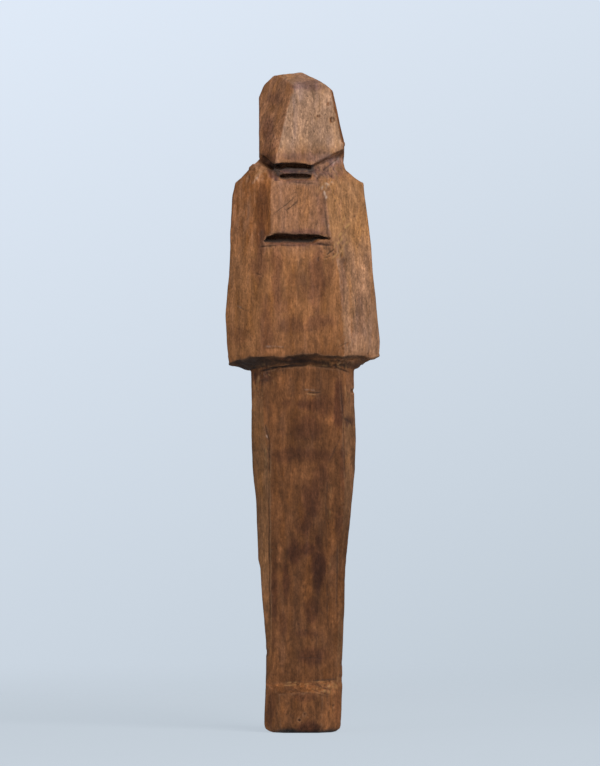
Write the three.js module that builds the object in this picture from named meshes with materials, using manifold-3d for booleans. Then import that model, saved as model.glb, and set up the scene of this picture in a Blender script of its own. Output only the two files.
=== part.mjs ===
// A stick ushabti: a small mummy-shaped funerary figure, whittled with a knife from one billet of wood.
// Millimetres. The figure stands on its foot with +Z up and looks along -Y; +X is on the viewer's right.
// It is one solid. Lofted blanks give the legs, the body and the head, planes pare them down, and deep
// knife slots part the chin, the throat, the chest panel and the hem, as on the real object.
import * as THREE from "three";
import { mergeVertices } from "three/addons/utils/BufferGeometryUtils.js";
import Module from "manifold-3d";

const wasm = await Module();
wasm.setup();

// ---- Driving dimensions -------------------------------------------------------------------------

const HEIGHT = 220; // sole to crown
const FAR = 60; // how far a cutting tool reaches outside the figure

// Heights of the carved breaks, measured up from the sole.
const LEVEL = {
  legTop: 121.2, // where the shins vanish under the hem
  hem: 125.1, // lower edge of the body, all round
  bevelEnd: 152.2, // where the long bevel beside the chest panel runs out
  slotFloor: 162.2, // mouth of the slot under the chest panel, from here
  panelHem: 165.9, // up to here
  wigBack: 186, // lower edge of the head at the back, where it overhangs the shoulders
  shoulder: 182.9, // shoulder corners and the top of the chest panel
  chin: 189.1,
  crown: HEIGHT,
};

// The face plane leans forward from brow to chin and is turned a little to +X.
const FACE = { chinY: -16.0, lean: 0.15, turn: 0.08 };

// The chest panel: its left edge with the foot of the bevel beside it, and its right edge at the top
// and at the hem, where a groove runs down it.
const PANEL = {
  left: -10.6, bevelFoot: -15.5, rightTop: 7.0, rightHem: 8.4, grooveWidth: 0.8, grooveDepth: 0.6,
};

// ---- Blanks, as stations up the figure ------------------------------------------------------------

// One level of a blank: the two outlines seen from the front, the two upright arrises between which
// the front is flat, and the depths of that flat front and of the back. Two things may be added: how
// far the left and the right outline hang below the level, and a bevel cut into the left facet, as
// the x of its upper edge and how deep its foot lies behind the flat front.
const at = (z, left, leftArris, rightArris, right, front, back, { hang = [0, 0], bevel } = {}) => ({
  z, left, leftArris, rightArris, right, front, back, hang, bevel,
});

const FOOT = [
  at(0, -9.8, -6.2, 5.2, 9.8, -14.6, 10.2),
  at(0.4, -11.2, -6.8, 5.8, 11.3, -15.2, 10.9),
  at(1.2, -12.5, -7.2, 6.0, 12.4, -15.6, 11.4),
  at(2.6, -12.8, -7.4, 6.2, 12.7, -15.9, 11.6),
  at(17.6, -12.2, -8.0, 7.0, 13.3, -15.2, 11.4),
  at(23.8, -12.0, -9.6, 10.6, 13.3, -11.0, 11.2),
];

const LEGS = [
  at(8.0, -12.0, -10.4, 11.0, 12.4, -11.2, 10.8),
  at(30.4, -12.2, -10.5, 11.8, 13.5, -11.4, 11.2),
  at(44.4, -13.5, -10.6, 12.4, 14.0, -11.7, 11.8),
  at(54.4, -14.1, -10.8, 12.9, 14.1, -12.0, 12.2),
  at(57.6, -14.9, -10.8, 13.2, 14.3, -12.1, 12.4),
  at(77.4, -15.7, -10.9, 13.7, 16.5, -12.8, 13.2),
  at(88.0, -16.7, -10.4, 13.9, 17.5, -13.2, 13.7),
  at(98.0, -17.1, -12.4, 13.7, 17.9, -13.4, 14.0),
  at(109.0, -16.9, -13.3, 13.1, 17.4, -13.2, 13.8),
  at(LEVEL.legTop, -17.2, -13.2, 12.2, 17.2, -12.8, 13.4),
  at(LEVEL.hem + 1, -16.4, -12.6, 11.6, 16.2, -11.6, 12.6),
];

const BODY = [
  at(LEVEL.legTop, -18.8, -12.6, 11.6, 17.0, -11.4, 12.6, { hang: [0.6, 0.2] }),
  at(LEVEL.hem, -24.5, -15.2, 13.8, 25.4, -16.9, 15.2, { hang: [2.2, -0.6] }),
  at(130.0, -25.2, -15.0, 13.8, 25.6, -17.3, 15.6),
  at(139.0, -25.6, -14.6, 12.9, 24.8, -17.4, 15.8),
  at(LEVEL.bevelEnd, -24.5, -13.9, 12.0, 23.5, -17.3, 15.8),
  at(LEVEL.bevelEnd + 0.6, -24.5, -13.9, 12.0, 23.4, -17.3, 15.8, { bevel: [-13.6, 1.2] }),
  at(LEVEL.slotFloor, -24.1, -13.7, 10.6, 22.8, -17.0, 15.5, { bevel: [-12.6, 2.1] }),
  at(LEVEL.panelHem, -24.2, -12.4, 8.6, 22.4, -17.8, 15.3, { bevel: [PANEL.left, 3.3] }),
  at(170.0, -24.0, -12.2, 8.2, 21.9, -17.7, 15.2, { bevel: [PANEL.left, 3.3] }),
  at(178.0, -23.6, -12.0, 7.4, 20.8, -17.2, 14.6, { bevel: [PANEL.left, 3.1] }),
  at(LEVEL.shoulder, -22.6, -11.8, 6.8, 20.3, -16.5, 14.0, { bevel: [-10.4, 2.8] }),
  at(184.7, -20.5, -11.4, 6.6, 17.3, -15.6, 13.7, { bevel: [-10.2, 2.2] }),
  at(187.4, -18.1, -11.0, 6.2, 14.2, -13.8, 12.8, { bevel: [-9.8, 1.8] }),
  at(191.0, -14.5, -10.6, 8.4, 13.3, -11.6, 12.4),
  at(198.0, -14.0, -8.0, 9.0, 12.6, -11.0, 12.0),
];

// How each blank turns from its flat front and back to its sides: depth gained per width, and the
// share of the half width that the flat back takes.
const FOOT_TURN = { front: 1.0, back: 0.9, backShare: 0.66 };
const LEG_TURN = { front: 0.85, back: 0.85, backShare: 0.6 };
const BODY_TURN = { front: 0.56, back: 0.75, backShare: 0.6 };

// ---- Geometry helpers ----------------------------------------------------------------------------

// The corners of one level, counter-clockwise from above. A side leans in a little to the back. The
// last two corners split the left facet: into itself, or into a bevel's foot and what is left of it.
function corners({ z, left, leftArris, rightArris, right, front, back, hang, bevel }, turn) {
  const lean = 0.97;
  const leftFacet = (x) => front + turn.front * (leftArris - x);
  const rightFront = front + turn.front * (right - rightArris);
  const backAt = (width) => back - turn.back * (1 - turn.backShare) * width;
  const quarter = (3 * leftArris + left) / 4;
  const [edge, footX, footY] = bevel
    ? [bevel[0], PANEL.bevelFoot, front + bevel[1]]
    : [leftArris, quarter, leftFacet(quarter)];
  const halfway = [(footX + left) / 2, (footY + leftFacet(left)) / 2, z - hang[0] / 2];
  return [
    [edge, front, z],
    [rightArris, front, z],
    [right, rightFront, z - hang[1]],
    [right * lean, backAt(right), z - hang[1]],
    [right * turn.backShare, back, z],
    [left * turn.backShare, back, z],
    [left * lean, backAt(-left), z - hang[0]],
    [left, leftFacet(left), z - hang[0]],
    halfway,
    [footX, footY, z],
  ];
}

// A closed solid through rings of corners that match one to one, lowest ring first.
function loft(rings) {
  const count = rings[0].length;
  const positions = [];
  const triangle = (...points) => points.forEach((p) => positions.push(...p));
  const middle = (ring) => [0, 1, 2].map((k) => ring.reduce((sum, p) => sum + p[k], 0) / count);
  for (let r = 0; r + 1 < rings.length; r++)
    for (let i = 0; i < count; i++) {
      const j = (i + 1) % count;
      const [a, b, c, d] = [rings[r][i], rings[r][j], rings[r + 1][j], rings[r + 1][i]];
      triangle(a, b, c);
      triangle(a, c, d);
    }
  const [floor, roof] = [rings[0], rings[rings.length - 1]];
  for (let i = 0; i < count; i++) {
    const j = (i + 1) % count;
    triangle(middle(floor), floor[j], floor[i]);
    triangle(middle(roof), roof[i], roof[j]);
  }
  const geometry = new THREE.BufferGeometry();
  geometry.setAttribute("position", new THREE.Float32BufferAttribute(positions, 3));
  return geometry;
}

// A closed three.js geometry as a solid that can be joined and cut, whichever way round it was wound.
function solidOf(geometry) {
  const bare = geometry.index ? geometry.toNonIndexed() : geometry.clone();
  bare.deleteAttribute("normal");
  bare.deleteAttribute("uv");
  const merged = mergeVertices(bare, 1e-4);
  const vertProperties = merged.attributes.position.array;
  const triVerts = new Uint32Array(merged.index.array);
  const made = () => new wasm.Manifold(new wasm.Mesh({ numProp: 3, vertProperties, triVerts }));
  const solid = made();
  if (solid.volume() > 0) return solid;
  triVerts.reverse();
  return made();
}

// A solid as a three.js geometry, with flat-shaded facets.
function geometryOf(solid) {
  const mesh = solid.getMesh();
  const indexed = new THREE.BufferGeometry();
  indexed.setAttribute("position", new THREE.BufferAttribute(mesh.vertProperties, 3));
  indexed.setIndex(new THREE.BufferAttribute(mesh.triVerts, 1));
  const geometry = indexed.toNonIndexed();
  geometry.computeVertexNormals();
  return geometry;
}

const blank = (stations, turn) => solidOf(loft(stations.map((level) => corners(level, turn))));

// One paring cut: takes off all that lies beyond the plane through three points, seen from the core.
function pare(solid, core, a, b, c) {
  const [pa, pb, pc] = [a, b, c].map((p) => new THREE.Vector3(...p));
  const plane = new THREE.Plane().setFromCoplanarPoints(pa, pb, pc);
  if (plane.distanceToPoint(new THREE.Vector3(...core)) > 0) plane.negate();
  const reach = 4 * FAR;
  const waste = new THREE.BoxGeometry(reach, reach, reach);
  waste.translate(0, 0, reach / 2);
  waste.applyQuaternion(
    new THREE.Quaternion().setFromUnitVectors(new THREE.Vector3(0, 0, 1), plane.normal),
  );
  const foot = plane.projectPoint(pa.clone().add(pb).add(pc).divideScalar(3), new THREE.Vector3());
  waste.translate(foot.x, foot.y, foot.z);
  return solid.subtract(solidOf(waste));
}

// A knife slot cut straight in from the front. Its outline at the mouth narrows to the bottom of the
// cut: keep is the share of its height left there, under a flat roof. The mouth is carried on
// outwards along the slot's own slopes, so that the tool clears the surface.
function slot(solid, { mouthY, depth, roof, keep, outline }) {
  const keepWidth = 0.94;
  const overshoot = 1.5;
  const bottom = outline.map(([x, z]) => [x * keepWidth, roof - (roof - z) * keep]);
  const outer = outline.map(([x, z], i) => [
    x + (x - bottom[i][0]) * overshoot,
    z + (z - bottom[i][1]) * overshoot,
  ]);
  const ring = (points, y) => points.map(([x, z]) => [x, y, z]);
  const tool = loft([ring(bottom, mouthY + depth), ring(outer, mouthY - depth * overshoot)]);
  return solid.subtract(solidOf(tool));
}

// ---- The figure ----------------------------------------------------------------------------------

// The knife slots of the front, their outlines in x and z as the viewer sees them.
const SLOTS = {
  chin: {
    mouthY: -14.4, depth: 6.0, roof: 189.0, keep: 0.3,
    outline: [[-9.4, 187.3], [2.8, 187.2], [3.2, 188.8], [-9.6, 189.1]],
  },
  throat: {
    mouthY: -15.0, depth: 4.4, roof: 185.7, keep: 0.2,
    outline: [[-7.6, 184.0], [2.8, 184.1], [3.0, 185.6], [-7.9, 185.7]],
  },
  leftJaw: {
    mouthY: -12.0, depth: 4.4, roof: 192.6, keep: 0.8,
    outline: [[-16.0, 189.6], [-9.6, 187.0], [-9.3, 189.0], [-13.2, 191.6], [-16.0, 192.6]],
  },
  underPanel: {
    mouthY: -17.2, depth: 5.6, roof: LEVEL.panelHem, keep: 0.2,
    outline: [
      [-14.2, 163.0],
      [-9.6, LEVEL.slotFloor],
      [3.0, 162.4],
      [9.6, 163.8],
      [8.4, 164.5],
      [-2.6, 165.7],
      [-9.2, LEVEL.panelHem],
      [-12.0, 164.9],
    ],
  },
};

// The y of the face plane at a place seen from the front.
const faceY = (x, z) => FACE.chinY + FACE.lean * (z - LEVEL.chin) + FACE.turn * (x + 9);

// The head: a block split by one strong arris into the broad face and the left cheek, and rounded off
// above by short cuts. Each cut is a plane through three points.
function head() {
  const core = [-1, 0, 203];
  const level = (z) => [
    [-14.6, -20, z], [13.8, -20, z], [13.8, 9, z], [9.0, 14, z], [-10, 14, z], [-14.6, 9, z],
  ];
  const onFace = (x, z) => [x, faceY(x, z), z];
  const cuts = {
    face: [onFace(0, 190), onFace(10, 190), onFace(0, 210)],
    leftCheek: [onFace(-2.8, 213.6), onFace(-9.2, 190), [-14.6, -10.2, 201]],
    lowerCheek: [onFace(-8.4, 193.5), onFace(-9.6, 188.6), [-14.6, -9.4, 192]],
    rightSide: [[13.9, -14, 196.2], [10.2, -12, 213.4], [13.7, 8, 196.2]],
    rightEdge: [onFace(13.2, 196.2), onFace(9.5, 213.4), [13.9, -11.2, 196.2]],
    crownRight: [[0.7, 0, 219.4], [5.9, -6, 216.7], [5.9, 8, 216.1]],
    templeRight: [[5.9, -6, 216.7], [10.1, -6, 213.4], [10.1, 8, 212.6]],
    crownTop: [[-1.4, -3, LEVEL.crown], [-9.6, -3, 218.9], [-4, 7, 219.4]],
    crownLeft: [[-9.6, -3, 218.9], [-13.0, -5, 216.3], [-9.6, 6, 218.5]],
    templeLeft: [[-13.0, -5, 216.3], [-14.6, -5, 212.4], [-13.0, 6, 215.5]],
    foreheadLeft: [[-14.6, -9.4, 210.8], [-5.2, -12.2, 215.2], [-10.9, -6.0, 218.0]],
    brow: [onFace(-5.2, 215.2), onFace(5.6, 216.0), [-1.4, -3.0, LEVEL.crown]],
    crownBack: [[0, 6.5, 219.4], [-8, 13.6, 211], [8, 13.6, 211]],
    jawRight: [onFace(2.9, 188.8), onFace(12.8, 193.7), [8.4, -12.0, 190.6]],
    jawLeft: [onFace(-9.4, 189.3), [-14.6, -10.5, 193.2], [-12.4, -7.5, 190.6]],
    chin: [onFace(-9.4, LEVEL.chin), onFace(2.9, 188.8), [-3, -8, 189.8]],
  };
  const pared = (solid, plane) => pare(solid, core, ...plane);
  return Object.values(cuts).reduce(pared, solidOf(loft([level(LEVEL.wigBack), level(HEIGHT + 2)])));
}

// The foot: a plain block a little prouder than the shins, its instep pared back in one slanting cut.
function foot() {
  const instep = [[-10.4, -11.2, 16.2], [11.2, -11.0, 17.8], [3.0, -15.6, 13.4]];
  return pare(blank(FOOT, FOOT_TURN), [0, 0, 8], ...instep);
}

// The narrow V groove down the panel's right edge, fading out towards the shoulder.
function cutPanelGroove(solid) {
  const { grooveWidth: w, grooveDepth: d } = PANEL;
  const ring = (x, y, z) => [[x - w, y - 2, z], [x, y + d, z], [x + w, y - 2, z]];
  const hem = ring(PANEL.rightHem, -17.6, LEVEL.slotFloor);
  const top = ring(PANEL.rightTop, -17.4, LEVEL.shoulder);
  return solid.subtract(solidOf(loft([hem, top])));
}

function figure() {
  const joined = foot().add(blank(LEGS, LEG_TURN)).add(blank(BODY, BODY_TURN)).add(head());
  const cuts = Object.values(SLOTS);
  return cuts.reduce(slot, cutPanelGroove(joined));
}

// ---- The finished object -------------------------------------------------------------------------

// Old, dry, oiled-looking brown wood.
const wood = new THREE.MeshStandardMaterial({ color: 0x7a4e2c, roughness: 0.72, metalness: 0 });

const figurine = new THREE.Mesh(geometryOf(figure()), wood);
figurine.name = "ushabti_figurine";

// The origin is the middle of the space the figure fills, on the surface that it stands on.
figurine.geometry.computeBoundingBox();
const { min, max } = figurine.geometry.boundingBox;
figurine.position.set(-(min.x + max.x) / 2, -(min.y + max.y) / 2, -min.z);

const ushabti = new THREE.Group();
ushabti.name = "ushabti";
ushabti.add(figurine);

export default ushabti;
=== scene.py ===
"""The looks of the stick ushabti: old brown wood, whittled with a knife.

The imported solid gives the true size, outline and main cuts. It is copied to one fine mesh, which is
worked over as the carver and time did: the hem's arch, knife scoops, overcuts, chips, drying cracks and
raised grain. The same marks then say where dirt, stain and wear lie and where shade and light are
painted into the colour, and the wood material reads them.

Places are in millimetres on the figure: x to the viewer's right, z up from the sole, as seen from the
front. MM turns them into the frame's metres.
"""

import itertools

import bpy
import numpy as np
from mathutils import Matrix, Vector


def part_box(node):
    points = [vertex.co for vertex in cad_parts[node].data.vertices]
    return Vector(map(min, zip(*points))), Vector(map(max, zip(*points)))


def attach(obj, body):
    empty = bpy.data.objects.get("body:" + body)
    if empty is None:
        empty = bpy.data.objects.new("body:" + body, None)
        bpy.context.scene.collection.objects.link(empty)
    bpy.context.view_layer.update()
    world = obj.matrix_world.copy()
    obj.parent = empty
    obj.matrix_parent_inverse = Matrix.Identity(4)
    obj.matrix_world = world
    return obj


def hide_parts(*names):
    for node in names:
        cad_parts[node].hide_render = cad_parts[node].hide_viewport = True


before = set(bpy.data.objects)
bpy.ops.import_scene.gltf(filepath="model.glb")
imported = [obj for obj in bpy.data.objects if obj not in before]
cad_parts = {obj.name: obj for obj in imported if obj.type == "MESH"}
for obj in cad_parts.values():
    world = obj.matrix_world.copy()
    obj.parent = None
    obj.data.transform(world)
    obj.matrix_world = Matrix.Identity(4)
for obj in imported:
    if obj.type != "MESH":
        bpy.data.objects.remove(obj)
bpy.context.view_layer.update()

NODE = "ushabti_figurine"
HEIGHT = 220.0
LOW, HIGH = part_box(NODE)
MM = (HIGH.z - LOW.z) / HEIGHT

PITCH = 0.33  # spacing of the fine mesh's points
MOST_TRIANGLES = 192_000

# ---- Named places ----------------------------------------------------------------------------------

HEM = 125.1  # lower edge of the body
HEM_ARCH = 1.3  # how far the hem rises in the middle of the front
HEM_ARCH_PLACE, HEM_ARCH_REACH = 2.0, 9.0  # where across the front it rises most, and its half width
HEM_SAG = 0.4  # how far it hangs on either side of the arch
HEM_UNDERSIDE = 123.4  # middle height of the ragged slope from the hem in to the legs

# The knife slots of the front: centre, half width and height, from what depth to what depth the painted
# shade in them deepens, how dark that painted shade gets, and how far they close at their ends.
SLOTS = {
    "under the panel": ((-2.2, 164.2), (11.4, 2.8), (-15.5, -14.3), 1.0, 0.0),
    "under the chin": ((-3.3, 188.3), (7.0, 1.6), (-13.6, -12.6), 1.0, 0.25),
    "throat": ((-2.6, 184.9), (5.8, 1.4), (-14.2, -13.0), 0.8, 0.6),
}

# Cuts, cracks and scratches on the front: start, end, half width and depth.
FRONT_CUTS = {
    "edge of the right jaw": ((2.8, 188.6), (12.6, 193.4), 0.6, 0.07),
    "crack under the right jaw": ((6.4, 186.6), (12.2, 191.0), 0.4, 0.2),
    "second crack under the right jaw": ((3.6, 187.0), (8.6, 190.4), 0.6, 0.08),
    "edge of the left jaw": ((-10.4, 188.6), (-7.2, 184.4), 1.0, 0.35),
    "tear at the throat's left end": ((-8.6, 187.4), (-6.0, 184.6), 0.6, 0.3),
    "tear at the throat's right end": ((3.0, 184.2), (6.0, 187.4), 0.5, 0.15),
    "overcut left of the throat": ((-9.8, 183.4), (-7.0, 183.6), 0.45, 0.25),
    "overcut below the throat": ((-4.4, 182.9), (5.0, 182.5), 0.4, 0.16),
    "faint scratch on the panel": ((-4.0, 179.6), (1.0, 182.0), 0.24, 0.1),
    "top of the panel's groove": ((7.6, 173.0), (6.6, 181.0), 0.7, 0.15),
    "second scratch on the panel": ((-6.2, 172.8), (-0.8, 177.4), 0.34, 0.24),
    "long scratch on the panel": ((-10.4, 171.5), (-2.0, 178.6), 0.3, 0.24),
    "short scratch on the panel": ((-6.8, 174.6), (-4.8, 172.8), 0.26, 0.14),
    "foot of the panel's groove": ((8.7, 162.6), (7.4, 175.4), 0.8, 0.3),
    "overcut right of the slot": ((4.0, 162.3), (10.2, 161.8), 0.45, 0.4),
    "overcut under the slot": ((-8.6, 162.0), (1.0, 161.9), 0.4, 0.14),
    "overcut left of the slot": ((-15.4, 161.2), (-7.6, 162.0), 0.45, 0.3),
    "torn grain right of the slot": ((7.4, 158.6), (10.8, 161.0), 0.45, 0.35),
    "lower tear right of the slot": ((7.0, 157.6), (9.4, 158.6), 0.4, 0.2),
    "hook below the slot": ((5.0, 156.2), (5.4, 158.4), 0.5, 0.3),
    "end of the long bevel": ((-15.9, 152.4), (-13.2, 152.0), 0.4, 0.2),
    "curved cut on the left arm": ((-21.8, 141.6), (-16.6, 139.4), 0.35, 0.12),
    "crack above the hem": ((11.0, 127.8), (16.2, 129.9), 0.4, 0.2),
    "scratch above the hem": ((-13.2, 127.8), (-4.6, 127.8), 0.3, 0.08),
    "overcut below the hem's arch": ((-7.6, 124.2), (2.6, 125.2), 0.6, 0.3),
    "crease under the hem": ((-9.6, 121.4), (3.4, 122.7), 0.65, 0.5),
    "crease under the hem, right": ((0.6, 122.6), (12.4, 121.0), 0.55, 0.4),
    "crease under the hem, left": ((-14.6, 120.0), (-7.4, 121.8), 0.6, 0.5),
    "end of the hem's crease": ((9.6, 122.0), (16.4, 119.6), 0.5, 0.4),
    "nick on the thighs": ((1.0, 113.1), (6.4, 113.0), 0.42, 0.28),
    "edge down the right thigh": ((12.6, 118.0), (13.6, 104.6), 0.5, 0.2),
    "notch in the right thigh": ((13.2, 104.6), (16.6, 102.6), 0.8, 0.2),
    "edge down the left thigh": ((-12.8, 103.6), (-11.0, 96.0), 0.45, 0.3),
    "crease across the right knee": ((12.8, 99.0), (8.2, 88.6), 0.5, 0.15),
    "edge down the right knee": ((13.4, 105.0), (14.2, 82.0), 0.45, 0.2),
    "edge down the left knee": ((-11.1, 98.0), (-11.2, 84.6), 0.45, 0.28),
    "seam down the right leg": ((8.4, 86.0), (7.2, 66.0), 0.35, 0.14),
    "edge down the left shin": ((-11.3, 88.0), (-10.8, 29.0), 0.42, 0.28),
    "edge down the right shin": ((11.4, 66.0), (11.6, 30.0), 0.35, 0.16),
    "seam down the right shin": ((8.0, 52.0), (8.4, 31.0), 0.4, 0.12),
    "nick above the ankles": ((-1.8, 24.9), (7.7, 24.7), 0.5, 0.1),
    "back of the instep": ((3.6, 17.3), (12.4, 17.8), 0.5, 0.14),
    "torn line down the instep": ((2.6, 16.5), (10.8, 13.8), 0.3, 0.16),
    "under the roll of the instep": ((2.0, 14.7), (10.2, 12.3), 0.35, 0.16),
    "front of the instep": ((-8.6, 15.1), (11.6, 11.6), 0.4, 0.12),
    "cut on the foot": ((-7.4, 6.3), (-4.2, 6.2), 0.3, 0.12),
}

# Chips and pits on the front: centre, half width and height, depth (a negative depth stands proud).
FRONT_CHIPS = {
    "upper pit at the temple": ((8.8, 209.0), (0.5, 0.8), 0.35),
    "pit in the face": ((5.2, 204.9), (0.6, 0.6), 0.45),
    "pit at the right temple": ((9.9, 203.6), (0.7, 0.9), 0.5),
    "burr at the right jaw": ((13.9, 195.6), (0.9, 0.6), -0.3),
    "flat in the left jaw": ((-12.6, 190.8), (1.6, 1.1), 0.3),
    "burr on the left shoulder": ((-17.0, 188.2), (1.8, 1.0), -0.5),
    "chip in the left shoulder": ((-13.6, 184.8), (1.7, 1.2), 0.35),
    "chip in the right shoulder": ((7.8, 181.2), (1.2, 2.6), 0.45),
    "splinter under the hem, right": ((13.0, 121.6), (1.6, 0.9), 0.2),
    "splinter under the hem, left": ((-13.8, 119.4), (1.0, 1.6), 0.5),
    "chip in the right edge of the thigh": ((16.8, 113.6), (0.8, 1.0), 0.6),
    "nick in the left ankle": ((-12.2, 26.6), (0.7, 1.4), 0.4),
    "nick in the right ankle": ((12.6, 17.6), (0.8, 2.0), 0.5),
    "third pore in the foot": ((10.3, 9.0), (0.4, 0.4), 0.4),
    "second pore in the foot": ((0.7, 6.3), (0.4, 0.35), 0.4),
    "pore in the foot": ((-1.1, 4.3), (0.5, 0.5), 0.6),
}

# Dark soft spots on the front, real stains and painted shade: centre, half width and height, strength.
FRONT_STAINS_AND_SHADE = {
    "brow": ((1.6, 216.0), (3.4, 1.5), 0.5),
    "top edge of the brow": ((2.0, 214.6), (7.6, 0.9), 0.6),
    "cheek, high": ((-9.4, 211.0), (2.6, 2.2), 0.35),
    "left cheek": ((-11.2, 201.6), (1.9, 5.4), 0.5),
    "cheek, low": ((-11.6, 194.0), (2.4, 2.2), 0.35),
    "chin": ((-2.0, 191.2), (8.0, 1.6), 0.35),
    # From the left jaw to the lip of the panel's slot, the spots under the jaws and chin, on the neck
    # between the slots, under the throat, beside the panel and over and in the panel's slot are painted
    # shade.
    "left jaw": ((-12.0, 190.6), (3.4, 2.2), 0.75),
    "right jaw": ((8.0, 190.2), (4.6, 1.8), 0.2),
    "right end of the chin's slot": ((3.6, 188.0), (0.9, 1.0), 0.4),
    "end of the left jaw": ((-10.0, 187.0), (1.8, 2.6), 1.6),
    "neck between the slots": ((-2.6, 186.5), (6.8, 1.2), 1.4),
    "from the jaw to the throat": ((-8.5, 186.4), (1.3, 2.8), 2.6),
    "under the right jaw": ((6.0, 186.4), (4.4, 1.8), 0.4),
    "neck, right side": ((10.0, 186.4), (3.0, 3.2), 0.5),
    "under the throat": ((-2.4, 183.4), (5.8, 0.8), 0.7),
    "beside the panel, high": ((-13.4, 176.0), (2.0, 7.0), 0.4),
    "right of the panel": ((6.2, 173.5), (1.5, 6.4), 0.3),
    "above the panel's slot": ((1.8, 165.9), (7.6, 1.2), 0.9),
    "beside the panel, low": ((-13.8, 165.5), (1.9, 6.0), 0.6),
    "lip of the panel's slot": ((-2.4, 162.5), (11.6, 0.9), 0.9),
    "under the slot, left": ((-14.4, 157.0), (1.1, 5.0), 0.6),
    "chest, high on the left": ((-8.6, 157.0), (2.0, 3.4), 0.5),
    "high on the left side": ((-14.4, 154.4), (2.6, 4.6), 0.45),
    "right of the slot's foot": ((9.0, 152.0), (1.2, 5.0), 0.3),
    "right arm, inner": ((13.4, 150.6), (0.9, 9.0), 0.3),
    "right of the chest": ((4.6, 150.4), (2.5, 10.0), 0.7),
    "middle of the chest": ((-2.9, 150.4), (2.8, 2.4), 0.25),
    "heart of the right stain": ((4.8, 149.6), (1.7, 5.6), 0.3),
    "left of the chest": ((-8.6, 148.6), (1.8, 12.0), 0.6),
    "chest, left of the stain": ((0.4, 147.6), (1.0, 4.0), 0.35),
    "under the middle": ((-2.6, 145.6), (3.2, 1.6), 0.2),
    "under the chest": ((-6.6, 141.6), (2.4, 2.4), 0.3),
    "right arm, outer": ((19.0, 137.6), (1.4, 9.0), 0.15),
    "waist, right": ((6.6, 136.4), (4.6, 2.2), 0.5),
    "waist, left": ((-4.6, 135.4), (5.6, 2.4), 0.38),
    "band down the left side": ((-12.2, 135.0), (2.2, 9.6), 0.5),
    "chest, lower middle": ((0.6, 134.6), (10.0, 1.2), 0.35),
    "left arm, low": ((-20.4, 131.6), (3.6, 3.4), 0.35),
    # These two are painted shadow under the hem.
    "under the arch of the hem": ((-2.6, 124.0), (6.4, 0.9), 1.0),
    "under the hem, left": ((-13.4, 118.4), (3.4, 2.4), 0.7),
    "thighs, left": ((-5.4, 109.4), (1.8, 1.4), 0.4),
    "thighs, high": ((2.2, 109.0), (4.8, 1.8), 0.7),
    "thighs, right": ((8.0, 108.4), (3.4, 3.4), 0.5),
    "beside the right thigh": ((12.0, 107.0), (1.7, 8.6), 1.0),
    "right edge of the thigh": ((15.2, 103.6), (1.8, 2.2), 0.6),
    "thighs": ((0.8, 100.8), (5.8, 4.2), 0.6),
    "knees": ((1.8, 92.6), (11.0, 2.6), 0.55),
    "knees, left end": ((-7.0, 92.2), (3.2, 2.0), 0.4),
    "right of the knee": ((13.2, 88.0), (1.0, 8.0), 0.6),
    "right knee": ((6.0, 85.0), (2.2, 5.0), 0.45),
    "below the knees": ((2.6, 76.6), (3.0, 6.8), 0.75),
    "below the right knee": ((11.8, 70.0), (1.2, 5.0), 0.4),
    "shins, top": ((1.0, 69.0), (2.4, 4.6), 0.8),
    "between the shins' stains": ((1.6, 61.0), (3.6, 2.2), 0.85),
    "heart of the shins' stain": ((-2.6, 60.4), (1.6, 2.4), 0.5),
    "shins, left": ((-2.8, 59.8), (2.7, 4.2), 1.1),
    "shins, right": ((5.2, 55.4), (2.3, 8.0), 1.05),
    "streak down the left shin": ((-5.6, 50.6), (1.2, 6.4), 0.75),
    "left of the shins": ((-9.4, 45.0), (1.0, 12.0), 0.6),
    "shins, low": ((3.0, 40.4), (2.6, 4.6), 0.6),
    "left shin, low": ((-6.4, 36.0), (1.6, 4.4), 0.4),
    "shins, middle": ((0.8, 33.0), (4.4, 1.6), 0.5),
    "ankles": ((3.6, 25.2), (5.2, 3.0), 0.7),
    "foot, high": ((0.6, 12.0), (3.6, 1.2), 0.5),
    "side of the foot": ((-10.4, 9.0), (1.8, 7.0), 0.4),
    "right foot": ((11.4, 8.0), (1.0, 6.0), 0.3),
    "foot": ((1.9, 1.6), (4.4, 2.2), 1.0),
}
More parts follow.
